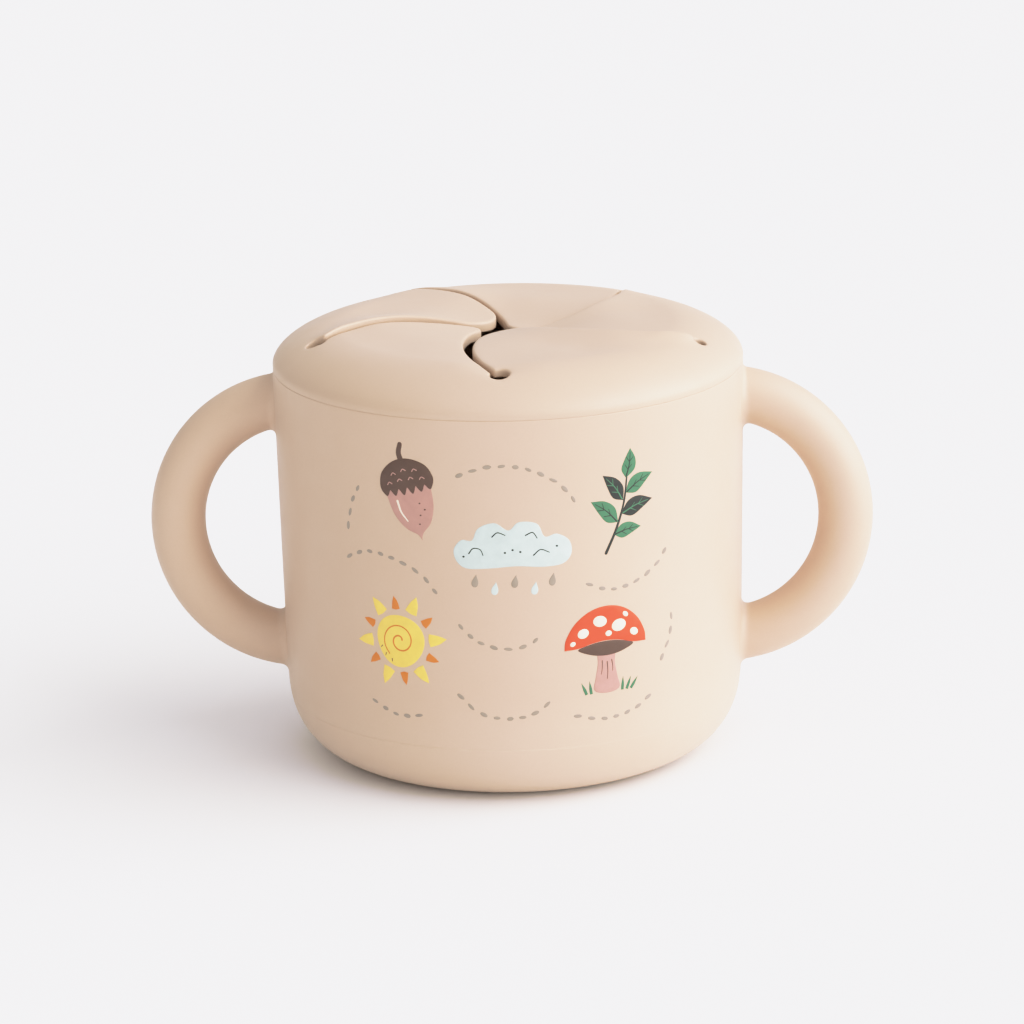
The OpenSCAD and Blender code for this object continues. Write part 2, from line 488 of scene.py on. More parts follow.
def dome(r, y=0.0):
    """Height of the smooth lid above the seam; its top sits a touch lower at the back."""
    r = np.asarray(r, float)
    z = np.interp(r, DR[::-1], DZ[::-1])
    q = np.clip(r / PLATEAU_R, 0, 1)
    t = np.clip((RIM - r) / 8.5, 0, 1)
    return z + 0.22 * (1 - q * q) ** 2 - 0.0130 * np.asarray(y, float) * t * t * (3 - 2 * t)


HOLE_RING, HOLE_R, CUT_R, GAP = 36.3, 1.75, 31.3, 0.36
CUT_A = math.degrees(math.acos(HOLE_RING / 2 / CUT_R))
HINGE_X = HOLE_RING * math.cos(math.radians(36))
HOLES = {270: (-0.35, -35.8, 1.85), 342: (35.76, -11.62, 1.2), 198: (-35.1, -10.4, 1.75)}     # x, y, radius where a hole leaves the even pattern
SPLIT = 0.9                         # how far outside the line through its two holes each flap's mesh leaves the ring's
ROUND_T, ROUND_B = 0.48, 0.32       # edge rounding above and below
THICK = 2.0
JOIN_R = 40.7                       # the cut field ends here; the shoulder begins
FLAPS = [("flap_front_right", 306, 270), ("flap_right", 18, 342), ("flap_back", 90, 54),
         ("flap_back_left", 162, 126), ("flap_front_left", 234, 198)]


def unit(deg):
    return np.array([math.cos(math.radians(deg)), math.sin(math.radians(deg))])


def hole_at(beta):
    x, y, r = HOLES.get(round(beta) % 360, (*(HOLE_RING * unit(beta)), HOLE_R))
    return np.array([x, y]), r


def hinge_line(alpha):
    """Unit normal and distance of the line on which a flap's mesh meets the ring's."""
    a, b = hole_at(alpha - 36)[0], hole_at(alpha + 36)[0]
    t = (b - a) / np.linalg.norm(b - a)
    n = np.array([t[1], -t[0]])
    return n, float(a @ n) + SPLIT


def circ_circ(c0, r0, c1, r1, near):
    d = np.linalg.norm(c1 - c0)
    a = (r0 * r0 - r1 * r1 + d * d) / (2 * d)
    h = math.sqrt(max(0.0, r0 * r0 - a * a))
    e = (c1 - c0) / d
    p = c0 + a * e
    q = np.array([-e[1], e[0]])
    cand = [p + h * q, p - h * q]
    return min(cand, key=lambda x: np.linalg.norm(x - near))


# Each flap: its own tip rounding, and the run of its hollow edge where that leaves the even pattern
TIP_R = {306: 2.2, 18: 3.2, 90: 4.2, 162: 7.4, 234: 1.4}
HOLLOW = {234: ((-2.5, -33.9), (-7.6, -15.9), (-3.8, 1.6))}


def circle3(a, b, c):
    (ax, ay), (bx, by), (cx_, cy_) = a, b, c
    d = 2 * (ax * (by - cy_) + bx * (cy_ - ay) + cx_ * (ay - by))
    ux = ((ax * ax + ay * ay) * (by - cy_) + (bx * bx + by * by) * (cy_ - ay) + (cx_ * cx_ + cy_ * cy_) * (ay - by)) / d
    uy = ((ax * ax + ay * ay) * (cx_ - bx) + (bx * bx + by * by) * (ax - cx_) + (cx_ * cx_ + cy_ * cy_) * (bx - ax)) / d
    return np.array([ux, uy]), math.hypot(ax - ux, ay - uy)


def ang(c, p):
    return math.atan2(p[1] - c[1], p[0] - c[0])


def outline_arcs():
    """Arcs (centre, radius, start, end, side, part) of the closed line round the cuts; side +1 where the lid is outside the arc."""
    fillet = 0.62
    ds = []
    for k in range(5):
        beta = 270 + 72 * k
        nxt = beta + 72
        alpha = (beta + 36) % 360
        (hole, hr), (hole2, hr2) = hole_at(beta), hole_at(nxt)
        c1, r1 = CUT_R * unit(beta + CUT_A), CUT_R - (0.0 if alpha == 306 else GAP)
        c2, r2 = CUT_R * unit(nxt + CUT_A), CUT_R + GAP
        if alpha in HOLLOW:
            c2, r2 = circle3(*HOLLOW[alpha])
        q1 = circ_circ(hole, hr + fillet, c1, r1 - fillet, hole + 2.3 * unit(beta - 169.6))
        a1 = hole + (q1 - hole) / (hr + fillet) * hr
        b1 = c1 + (q1 - c1) / (r1 - fillet) * r1
        q2 = circ_circ(hole2, hr2 + fillet, c2, r2 + fillet, hole2 + 2.3 * unit(nxt - 119.6))
        a2 = hole2 + (q2 - hole2) / (hr2 + fillet) * hr2
        b2 = c2 + (q2 - c2) / (r2 + fillet) * r2
        tr = TIP_R[alpha]
        t = circ_circ(c1, r1 - tr, c2, r2 + tr, 1.2 * tr * unit(alpha) + (np.array([-4.0, 0.0]) if alpha == 234 else 0))
        t1 = c1 + (t - c1) / np.linalg.norm(t - c1) * r1
        t2 = c2 + (t - c2) / np.linalg.norm(t - c2) * r2
        ds.append((alpha, beta, hole, c1, r1, c2, r2, q1, a1, b1, q2, a2, b2, tr, t, t1, t2, hr))
    arcs = []
    for k in range(5):
        alpha, beta, hole, c1, r1, c2, r2, q1, a1, b1, q2, a2, b2, tr, t, t1, t2, hr = ds[k]
        pa2 = ds[k - 1][11]
        arcs.append((hole, hr, ang(hole, pa2), ang(hole, a1), +1, ("hole", beta)))
        arcs.append((q1, fillet, ang(q1, a1), ang(q1, b1), -1, None))
        arcs.append((c1, r1, ang(c1, b1), ang(c1, t1), -1, None))
        arcs.append((t, tr, ang(t, t1), ang(t, t2), -1, None))
        arcs.append((c2, r2, ang(c2, t2), ang(c2, b2), +1, None))
        arcs.append((q2, fillet, ang(q2, b2), ang(q2, a2), -1, None))
    return arcs


def outline(arcs, off, step=0.34):
    """The closed line moved off into the lid. Returns points and, per hinge crossing, its index."""
    pts, marks = [], {}
    tau = 2 * math.pi
    for c, r, a, b, sgn, part in arcs:
        rr = r + sgn * off
        stops = [a]
        keys = []
        if part:
            w = math.acos(SPLIT / rr)
            n0, n1 = hinge_line(part[1] - 36)[0], hinge_line(part[1] + 36)[0]
            prev, here = math.atan2(n0[1], n0[0]) - w, math.atan2(n1[1], n1[0]) + w
            stops += [a + (prev - a) % tau]
            stops += [stops[-1] + (here - stops[-1]) % tau]
            keys = [(part[1] - 36) % 360, (part[1] + 36) % 360]
        if sgn > 0:
            end = stops[-1] + (b - stops[-1]) % tau
        else:
            end = a - (a - b) % tau
        stops.append(end)
        for i in range(len(stops) - 1):
            s0, s1 = stops[i], stops[i + 1]
            if i > 0:
                marks[(keys[i - 1], "end" if i == 1 else "start")] = len(pts)
            n = max(2, int(math.ceil(abs(s1 - s0) * (r + (0.3 if sgn > 0 else 0)) / (step if r > 1 else step * 0.5))))
            for j in range(n):
                th = s0 + (s1 - s0) * j / n
                pts.append((c[0] + rr * math.cos(th), c[1] + rr * math.sin(th)))
    return np.array(pts), marks


# Heights of the flaps' edges above the seam: x, y, z
EDGES = {
    234: [(-33.1, -9.9, 7.08), (-28.9, -5.8, 7.72), (-24.1, -2.6, 8.14), (-19.3, -0.6, 7.87), (-15, 0.6, 7.40), (-9.5, 1.1, 6.75), (-6.5, 1.2, 6.35), (-4.6, 0.8, 6.0),
          (-5.0, -1.5, 6.1), (-6.8, -5.9, 6.75), (-7.7, -12.5, 7.1), (-7.8, -15.9, 7.3), (-6.7, -22.3, 7.35), (-4.9, -28.3, 7.3), (-3.1, -32.8, 7.0)],
    162: [(-33.6, -9.5, 7.7), (-30, -5.8, 8.64), (-25.7, -2.7, 8.99), (-20.4, -0.2, 8.94), (-15, 1.3, 8.25), (-9.5, 1.8, 7.18), (-6.2, 1.6, 6.65), (-5.4, 3.2, 6.5),
          (-17.4, 27.3, 7.42), (-12.7, 24.4, 7.75), (-8, 20.1, 7.65), (-4.6, 15.3, 6.9), (-2.8, 11.8, 6.45), (-3.4, 7.6, 6.2)],
    90: [(-15.1, 26.9, 7.67), (-10.4, 23.5, 7.96), (-6.9, 19.8, 7.6), (-4, 15.7, 6.75), (-2.3, 12.3, 6.1), (-0.4, 6.2, 5.5), (1.7, 3.2, 5.4),
         (5.9, 3.1, 5.3), (12.2, 8.1, 6.3), (16.6, 13.8, 7.0), (20.4, 23.8, 7.0)],
    18: [(2.4, 0.8, 5.6), (5.9, 3.1, 5.8), (12.2, 8.1, 7.1), (16.6, 13.8, 7.87), (20.4, 23.8, 7.4),
         (5.2, -4.6, 5.3), (8.5, -7.0, 6.3), (16.1, -11.0, 7.2), (23.0, -12.6, 7.54), (29.9, -12.2, 7.42)],
    306: [(-0.8, -1.5, 6.2), (2.5, -3.6, 7.15), (5.9, -6.5, 8.0), (12.6, -10.4, 8.75), (20.7, -12.7, 9.0), (28.8, -12.8, 8.67), (34.2, -11.7, 7.92),
          (-2.3, -6.8, 6.9), (-4.2, -10.2, 7.1), (-5.4, -14.6, 7.3), (-5.6, -20.0, 7.4), (-4.4, -26.3, 7.4), (-2.2, -31.2, 7.3), (-0.8, -33.8, 7.1)],
}


def spline(px, py, val, lam=0.6):
    """Thin-plate spline through the values, a little relaxed."""
    px, py, val = map(np.asarray, (px, py, val))
    n = len(px)

    def kern(d2):
        return np.where(d2 > 1e-12, 0.5 * d2 * np.log(np.maximum(d2, 1e-12)), 0.0)

    a = np.zeros((n + 3, n + 3))
    a[:n, :n] = kern((px[:, None] - px) ** 2 + (py[:, None] - py) ** 2) + lam * np.eye(n)
    a[:n, n], a[:n, n + 1], a[:n, n + 2] = 1, px, py
    a[n:, :n] = a[:n, n:].T
    w = np.linalg.solve(a, np.concatenate([val, np.zeros(3)]))
    return lambda x, y: kern((x[:, None] - px) ** 2 + (y[:, None] - py) ** 2) @ w[:n] + w[n] + w[n + 1] * x + w[n + 2] * y


def smooth(t):
    t = np.clip(t, 0, 1)
    return t * t * (3 - 2 * t)


LIFT = {}
for alpha, rows in EDGES.items():
    xs = [r[0] for r in rows]
    ys = [r[1] for r in rows]
    vs = [r[2] - float(dome(math.hypot(r[0], r[1]), r[1])) for r in rows]
    level = [(31.5, y, 0.0) for y in (-13, -8, -3, 3, 8, 13)] + [(35.0, y, 0.0) for y in (-15, 0, 15)]
    for lx, ly, v in level + [(25.0, -6.0, 0.0), (25.0, 0.0, 0.05), (19.0, -4.0, 0.0)]:
        p = lx * unit(alpha) + ly * unit(alpha + 90)
        xs.append(p[0])
        ys.append(p[1])
        vs.append(v)
    LIFT[alpha] = spline(xs, ys, vs, 0.1)


def lift(alpha, x, y, on_ring):
    u, v = unit(alpha), unit(alpha + 90)
    s = HINGE_X + 0.9 - (x * u[0] + y * u[1])
    w = smooth((s + 4.0) / 6.5)
    if on_ring:
        a = np.abs(np.degrees(np.arctan2(x * v[0] + y * v[1], x * u[0] + y * u[1])))
        w = w * (1 - smooth((a - 33.2) / 5.6)) * (1 - smooth((np.hypot(x, y) - 35.3) / 3.6))
    else:
        w = w * (1 - smooth((np.hypot(x, y) - 35.3) / 3.6))
    return w * LIFT[alpha](x, y)


def build_lid():
    arcs = outline_arcs()
    offs = [0.0] + [ROUND_T * (1 - math.cos(math.radians(t))) for t in (22, 42, 65, 90)]
    pts, edges, ring_of = [], [], []
    chains, marks = [], []
    for li, off in enumerate(offs):
        p, mk = outline(arcs, off)
        base = len(pts)
        pts += [tuple(q) for q in p]
        ring_of += [li] * len(p)
        edges += [(base + i, base + (i + 1) % len(p)) for i in range(len(p))]
        chains.append((base, len(p)))
        marks.append({k: base + v for k, v in mk.items()})
    # hinge lines
    split_edges, lines = [], {}
    for _, alpha, _ in FLAPS:
        a = [m[(alpha, "start")] for m in marks]
        b = [m[(alpha, "end")] for m in marks][::-1]
        p0, p1 = np.array(pts[a[-1]]), np.array(pts[b[0]])
        n = int(round(float(np.linalg.norm(p1 - p0)) / 0.8))
        mid = []
        for i in range(1, n):
            q = p0 + (p1 - p0) * i / n
            mid.append(len(pts))
            pts.append((q[0], q[1]))
            ring_of.append(9)
        line = a + mid + b
        split_edges += list(zip(line, line[1:]))
        lines[alpha] = len(line) - 1
    edges += split_edges
    # outer circle
    circ = []
    for i in range(SEG):
        t = 2 * math.pi * i / SEG
        circ.append(len(pts))
        pts.append((JOIN_R * math.cos(t), JOIN_R * math.sin(t)))
        ring_of.append(9)
    edges += [(circ[i], circ[(i + 1) % SEG]) for i in range(SEG)]
    fixed = np.array(pts)
    b0, bn = chains[0]
    border = fixed[b0:b0 + bn]
    # points of the field between
    h = 0.82
    gx, gy = np.meshgrid(np.arange(-40, 40, h), np.arange(-46, 46, h * math.sqrt(3) / 2))
    gx = gx + (np.arange(gx.shape[0])[:, None] % 2) * h / 2
    g = np.column_stack([gx.ravel(), gy.ravel()])
    g = g[np.hypot(g[:, 0], g[:, 1]) < JOIN_R - 0.5]
    keep = np.ones(len(g), bool)
    for i in range(0, len(g), 2000):
        d = np.min((g[i:i + 2000, None, 0] - border[:, 0]) ** 2 + (g[i:i + 2000, None, 1] - border[:, 1]) ** 2, axis=1)
        keep[i:i + 2000] &= d > (ROUND_T + 0.38) ** 2
    for _, alpha, _ in FLAPS:
        nrm, dist = hinge_line(alpha)
        keep &= ~((np.abs(g @ nrm - dist) < 0.4) & (np.abs(g @ unit(alpha + 90)) < 21.5))

    def inside(q):
        x, y = q[:, 0], q[:, 1]
        c = np.zeros(len(q), bool)
        bx, by = border[:, 0], border[:, 1]
        cx_, cy_ = np.roll(bx, -1), np.roll(by, -1)
        for i in range(len(border)):
            hit = ((by[i] > y) != (cy_[i] > y))
            if hit.any():
                c ^= hit & (x < (cx_[i] - bx[i]) * (y - by[i]) / (cy_[i] - by[i] + 1e-30) + bx[i])
        return c

    g = g[keep]
    g = g[~inside(g)]
    n_fixed = len(fixed)
    allp = np.vstack([fixed, g])
    ring_of += [9] * len(g)
    v2, e2, f2, ov, oe, of_ = geometry.delaunay_2d_cdt([Vector(p) for p in allp], edges, [], 0, 1e-7, True)
    assert len(v2) == len(allp), (len(v2), len(allp))
    back_map = [o[0] for o in ov]
    faces = np.array([[back_map[i] for i in f] for f in f2])
    cent = allp[faces].mean(1)
    faces = faces[~inside(cent)]
    # all faces upwards
    p = allp[faces]
    cr = (p[:, 1, 0] - p[:, 0, 0]) * (p[:, 2, 1] - p[:, 0, 1]) - (p[:, 1, 1] - p[:, 0, 1]) * (p[:, 2, 0] - p[:, 0, 0])
    faces[cr < 0] = faces[cr < 0][:, ::-1]
    # regions: the ring and five flaps
    bar = {tuple(sorted(e)) for e in split_edges}
    by_edge = {}
    for i, f in enumerate(faces):
        for a, b in ((0, 1), (1, 2), (2, 0)):
            by_edge.setdefault(tuple(sorted((int(f[a]), int(f[b])))), []).append(i)
    comp = -np.ones(len(faces), int)
    n_comp = 0
    for s in range(len(faces)):
        if comp[s] >= 0:
            continue
        comp[s] = n_comp
        todo = [s]
        while todo:
            i = todo.pop()
            f = faces[i]
            for a, b in ((0, 1), (1, 2), (2, 0)):
                e = tuple(sorted((int(f[a]), int(f[b]))))
                if e in bar:
                    continue
                for j in by_edge[e]:
                    if comp[j] < 0:
                        comp[j] = n_comp
                        todo.append(j)
        n_comp += 1
    assert n_comp == 6, n_comp
    cent = allp[faces].mean(1)
    label = {}
    for c in range(n_comp):
        m = cent[comp == c]
        if np.hypot(m[:, 0], m[:, 1]).max() > JOIN_R - 1:
            label[c] = "ring"
        else:
            best = max(FLAPS, key=lambda f: float(np.mean(m @ unit(f[1]) > HINGE_X - 1.5)))
            label[c] = best[1]
    assert len(set(label.values())) == 6, label
    kind = [label[c] for c in comp]
    # per point: the region for its height
    owner = ["ring"] * len(allp)
    for f, kd in zip(faces, kind):
        for i in f:
            if kd != "ring":
                owner[i] = kd
    ring_of = np.array(ring_of)
    x, y = allp[:, 0], allp[:, 1]
    flat = dome(np.hypot(x, y), y)
    own = np.array([0 if o == "ring" else o for o in owner])
    top = flat.copy()
    on_ring = own == 0
    for _, alpha, _ in FLAPS:
        sel = own == alpha
        top[sel] += lift(alpha, x[sel], y[sel], False)
        top[on_ring] += lift(alpha, x[on_ring], y[on_ring], True)
    drop_t, drop_b = np.zeros(len(allp)), np.zeros(len(allp))
    for li, off in enumerate(offs):
        s = ring_of == li
        drop_t[s] = ROUND_T - math.sqrt(max(0.0, ROUND_T ** 2 - max(0.0, ROUND_T - off) ** 2))
        drop_b[s] = ROUND_B - math.sqrt(max(0.0, ROUND_B ** 2 - max(0.0, ROUND_B - off) ** 2))
    nt = len(allp)
    upper = np.column_stack([x, y, SEAM + top - drop_t])
    r = np.hypot(x, y)
    r2 = np.where(r > 37.7, 37.7 + (r - 37.7) / (JOIN_R - 37.7), r)
    k = r2 / np.maximum(r, 1e-9)
    near = np.min([np.hypot(x - hole_at(b)[0][0], y - hole_at(b)[0][1]) for b in (54, 126, 198, 270, 342)], axis=0)
    thick = THICK - 0.35 * (1 - smooth((near - 2.0) / 4.0))
    lower = np.column_stack([x * k, y * k, SEAM + top - thick + drop_b])
    co = [*map(tuple, upper), *map(tuple, lower)]
    out_faces, out_kind = [], []
    for f, kd in zip(faces, kind):
        out_faces.append((int(f[0]), int(f[1]), int(f[2])))
        out_kind.append(kd)
        out_faces.append((int(f[2]) + nt, int(f[1]) + nt, int(f[0]) + nt))
        out_kind.append(kd)
    for i in range(bn):
        a, b = b0 + i, b0 + (i + 1) % bn
        kd = kind[by_edge[tuple(sorted((a, b)))][0]] if by_edge.get(tuple(sorted((a, b)))) else "ring"
        out_faces.append((a, b, b + nt, a + nt))
        out_kind.append(kd)
    # shoulder, seam edge, channel and plug, from the outer circle round to the underside
    prof = []
    for t in np.linspace(0, 1, 30)[1:]:
        rr = JOIN_R + (RIM - JOIN_R) * math.sin(t * math.pi / 2)
        prof.append((rr, SEAM + float(dome(rr)), 0.0130 * (lambda q: q * q * (3 - 2 * q))(min(1.0, (RIM - rr) / 8.5))))
    prof[-1] = (RIM, SEAM + EDGE)
    prof += [(RIM, SEAM + 0.5), (RIM - 0.012, SEAM + 0.24), (RIM - 0.03, SEAM + 0.07), (RIM - 0.055, SEAM + 0.02)]
    prof += [(43.2, SEAM + 0.01), (42.6, SEAM + 0.01)]
    prof += arc(42.6, SEAM + 0.32, 0.3, 270, 180, 3)
    prof += [(42.3, 76.3)] + arc(42.0, 76.4, 0.3, 0, 90, 3) + arc(40.9, 76.4, 0.3, 90, 180, 3)
    prof += [(40.6, 75.6), (40.6, 74.2), (40.66, 73.95), (40.74, 73.7), (40.66, 73.45), (40.6, 73.2), (40.6, 72.7), (40.66, 72.45), (40.74, 72.2), (40.66, 71.95), (40.6, 71.7), (40.6, 71.3)]
    prof += arc(40.0, 71.1, 0.6, 0, -90, 4) + arc(39.3, 71.1, 0.6, 270, 180, 4)
    zb = SEAM + float(dome(JOIN_R)) - THICK
    prof += [(38.7, 72.0), (38.7, 74.0), (38.7, zb - 0.9), (38.7, zb - 0.35)]
    th = np.arange(SEG) * 2 * np.pi / SEG
    last = circ
    for rr, zz, *tilt in prof:
        ring = list(range(len(co), len(co) + SEG))
        k_ = tilt[0] if tilt else 0.0
        co += [(rr * math.cos(t), rr * math.sin(t), zz - k_ * rr * math.sin(t)) for t in th]
        for i in range(SEG):
            j = (i + 1) % SEG
            out_faces.append((last[i], ring[i], ring[j], last[j]))
            out_kind.append("ring")
        last = ring
    for i in range(SEG):
        j = (i + 1) % SEG
        out_faces.append((last[i], circ[i] + nt, circ[j] + nt, last[j]))
        out_kind.append("ring")
    co = np.array(co)
    # the walls on which a flap's closed mesh and the ring's stand against each other, facing away from the flap
    walls, step = {}, 0
    for _, alpha, _ in FLAPS:
        count = lines[alpha]
        out = np.array([*hinge_line(alpha)[0], 0.0])
        quads = [(a, b, b + nt, a + nt) for a, b in split_edges[step:step + count]]
        step += count
        a, b, c, _d = co[list(quads[count // 2])]
        walls[alpha] = quads if np.cross(b - a, c - a) @ out > 0 else [tuple(reversed(q)) for q in quads]
    return co, out_faces, out_kind, vertex_normals(co, out_faces), walls


lco, lfaces, lkind, lnrm, lwalls = build_lid()


def lid_piece(name, want):
    fs = [f for f, k in zip(lfaces, lkind) if k == want]
    if want == "ring":
        fs += [tuple(reversed(q)) for w in lwalls.values() for q in w]
    else:
        fs += lwalls[want]
    used = sorted({i for f in fs for i in f})
    new = {o: i for i, o in enumerate(used)}
    o = make(name, lco[used], [tuple(new[i] for i in f) for f in fs], LID_MAT, lnrm[used])
    return o


ring = lid_piece("lid_moulding", "ring")
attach(ring, "lid")
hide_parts("lid_ring", "lid_plug")
for node, alpha, _ in FLAPS:
    soft = lid_piece(node + "_soft", alpha)
    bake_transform(soft)
    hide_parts(node)


# ------------------------------------------------------------------ print on the front of the cup
def curve(ctrl, closed=True, step=0.45):
    """Smooth line through the points; a point given twice makes a corner."""
    pts = [np.array(p, float) for p in ctrl]
    n = len(pts)
    out = []
    for i in range(n if closed else n - 1):
        p1, p2 = pts[i], pts[(i + 1) % n]
        if np.linalg.norm(p2 - p1) < 1e-9:
            continue
        p0 = pts[i - 1] if (closed or i > 0) else p1
        p3 = pts[(i + 2) % n] if (closed or i + 2 < n) else p2
        d = np.linalg.norm(p2 - p1)
        m1 = (p2 - p0) / 2 if np.linalg.norm(p1 - p0) > 1e-9 else (p2 - p1) * 0.8
        m2 = (p3 - p1) / 2 if np.linalg.norm(p3 - p2) > 1e-9 else (p2 - p1) * 0.8
        for m in (m1, m2):
            q = np.linalg.norm(m)
            if q > 1.4 * d:
                m *= 1.4 * d / q
        k = max(2, int(math.ceil(d / step)))
        for j in range(k):
            t = j / k
            out.append((2 * t ** 3 - 3 * t ** 2 + 1) * p1 + (t ** 3 - 2 * t ** 2 + t) * m1 + (-2 * t ** 3 + 3 * t ** 2) * p2 + (t ** 3 - t ** 2) * m2)
    if not closed:
        out.append(pts[-1])
    return np.array(out)


def place(pts, at, turn=0.0, size=1.0):
    c, s = math.cos(math.radians(turn)), math.sin(math.radians(turn))
    p = np.array(pts, float) * size
    return np.column_stack([p[:, 0] * c - p[:, 1] * s, p[:, 0] * s + p[:, 1] * c]) + np.array(at)


def ribbon(pts, w0, w1=None, swell=0.0):
    """Outline of a brush stroke along the points, round at both ends."""
    p = np.array(pts, float)
    w1 = w0 if w1 is None else w1
    d = np.gradient(p, axis=0)
    d /= np.maximum(np.linalg.norm(d, axis=1, keepdims=True), 1e-9)
    nrm = np.column_stack([-d[:, 1], d[:, 0]])
    t = np.linspace(0, 1, len(p))
    w = ((w0 + (w1 - w0) * t) * (1 + swell * np.sin(np.pi * t)) / 2)[:, None]
    left, right = p + nrm * w, p - nrm * w

    def cap(c, dr, r, n=5):
        a = math.atan2(dr[1], dr[0])
        return [c + r * np.array([math.cos(a + math.pi / 2 - math.pi * i / n), math.sin(a + math.pi / 2 - math.pi * i / n)]) for i in range(1, n)]

    return np.array(list(left) + cap(p[-1], d[-1], float(w[-1, 0])) + list(right[::-1]) + cap(p[0], -d[0], float(w[0, 0])))


def oval(c, a, b, turn=0.0, n=None):
    n = n or max(10, int(2 * math.pi * max(a, b) / 0.4))
    t = np.arange(n) * 2 * np.pi / n
    return place(np.column_stack([a * np.cos(t), b * np.sin(t)]), c, turn)


PRINT = {}


def decal(tone, outline_, lift_):
    """One area of ink: flat on top, thin, rounded off to the cup at its edge."""
    p = np.array(outline_, float)
    keep = [0]
    for i in range(1, len(p)):
        if np.linalg.norm(p[i] - p[keep[-1]]) > 0.06:
            keep.append(i)
    p = p[keep]
    if np.linalg.norm(p[0] - p[-1]) < 0.06:
        p = p[:-1]
    if ((p[:, 0] * np.roll(p[:, 1], -1) - np.roll(p[:, 0], -1) * p[:, 1]).sum()) < 0:
        p = p[::-1]
    e = np.roll(p, -1, 0) - np.roll(p, 1, 0)
    e /= np.maximum(np.linalg.norm(e, axis=1, keepdims=True), 1e-9)
    inw = np.column_stack([-e[:, 1], e[:, 0]])
    rim = min(0.10, 0.22 * float(np.ptp(p, axis=0).min()))
    q1, q2 = p + inw * rim * 0.35, p + inw * rim
    lo_, hi_ = p.min(0), p.max(0)
    h = 1.3
    gx, gy = np.meshgrid(np.arange(lo_[0] + h / 2, hi_[0], h), np.arange(lo_[1] + h / 2, hi_[1], h))
    g = np.column_stack([gx.ravel(), gy.ravel()])

    def within(q, poly):
        a, b = poly, np.roll(poly, -1, 0)
        y = q[:, 1][:, None]
        hit = (a[:, 1] > y) != (b[:, 1] > y)
        xs = (b[:, 0] - a[:, 0]) * (y - a[:, 1]) / (b[:, 1] - a[:, 1] + 1e-30) + a[:, 0]
        return (hit & (q[:, 0][:, None] < xs)).sum(1) % 2 == 1

    if len(g):
        near = np.sqrt(((g[:, None] - p) ** 2).sum(2)).min(1) > 0.45
        g = g[near & within(g, p)] if near.any() else g[:0]
    n = len(p)
    allp = np.vstack([p, q1, q2, g])
    hh = np.concatenate([np.full(n, -0.02), np.full(n, lift_ * 0.72), np.full(n, lift_), np.full(len(g), lift_)])
    ed = [(k * n + i, k * n + (i + 1) % n) for k in range(3) for i in range(n)]
    v2, _, f2, ov, _, _ = geometry.delaunay_2d_cdt([Vector(x) for x in allp], ed, [], 0, 1e-6, True)
    v2 = np.array([tuple(v) for v in v2])
    hv = np.array([hh[o].min() if len(o) else lift_ for o in ov])
    f = np.array(f2)
    f = f[within(v2[f].mean(1), p)]
    a = v2[f]
    cr = (a[:, 1, 0] - a[:, 0, 0]) * (a[:, 2, 1] - a[:, 0, 1]) - (a[:, 1, 1] - a[:, 0, 1]) * (a[:, 2, 0] - a[:, 0, 0])
    f = f[np.abs(cr) > 1e-9]
    cr = cr[np.abs(cr) > 1e-9]
    f[cr < 0] = f[cr < 0][:, ::-1]
    phi = v2[:, 0] / RIM
    r = wall_r(v2[:, 1]) + hv
    co = np.column_stack([r * np.sin(phi), -r * np.cos(phi), v2[:, 1]])
    vs, fs = PRINT.setdefault(tone, ([], []))
    base = sum(len(x) for x in vs)
    vs.append(co)
    fs += [(int(i) + base, int(j) + base, int(k) + base) for i, j, k in f]


L1, L2, L3 = 0.050, 0.080, 0.105


def leaf(at, turn, length, width, tone, vein, bend=0.12):
    b = bend * length
    pts = curve([(0, 0), (0, 0), (length * 0.28, width * 0.46 + b * 0.5), (length * 0.62, width * 0.40 + b), (length, b * 0.6), (length, b * 0.6),
                 (length * 0.66, -width * 0.36 + b), (length * 0.30, -width * 0.46 + b * 0.5)], True, 0.4)
    decal(tone, place(pts, at, turn), L1)
    mid = curve([(length * 0.06, 0.02), (length * 0.45, b * 0.75), (length * 0.86, b * 0.72)], False, 0.4)
    decal(vein, place(ribbon(mid, 0.34, 0.16), at, turn), L2)
    for f_, s_ in ((0.30, 1), (0.30, -1), (0.55, 1), (0.55, -1)):
        v = curve([(length * f_, b * f_ * 1.3), (length * (f_ + 0.15), b * f_ * 1.3 + s_ * width * 0.24)], False, 0.3)
        decal(vein, place(ribbon(v, 0.22, 0.14), at, turn), L2)


def sprig(at, turn):
    stem = curve([(-1.2, -9.2), (-0.2, -4.5), (0.2, 0.5), (-0.3, 5.2)], False, 0.5)
    decal("dark", place(ribbon(stem, 0.62, 0.34), at, turn), L1)
    for x, y, t, l, w, tone in ((-0.4, 5.0, 98, 5.6, 3.0, "green"), (0.1, 2.3, 38, 6.6, 3.1, "green"), (0.0, 0.9, 146, 6.6, 3.1, "dark"),
                                (0.1, -1.6, 26, 7.0, 3.3, "dark"), (-0.1, -3.2, 158, 7.0, 3.3, "green"), (-0.5, -5.6, 18, 5.8, 2.8, "green")):
        a = place([(x, y)], at, turn)[0]
        leaf(a, t + turn, l, w, tone, "dark" if tone == "green" else "green", 0.10 if t < 90 else -0.10)


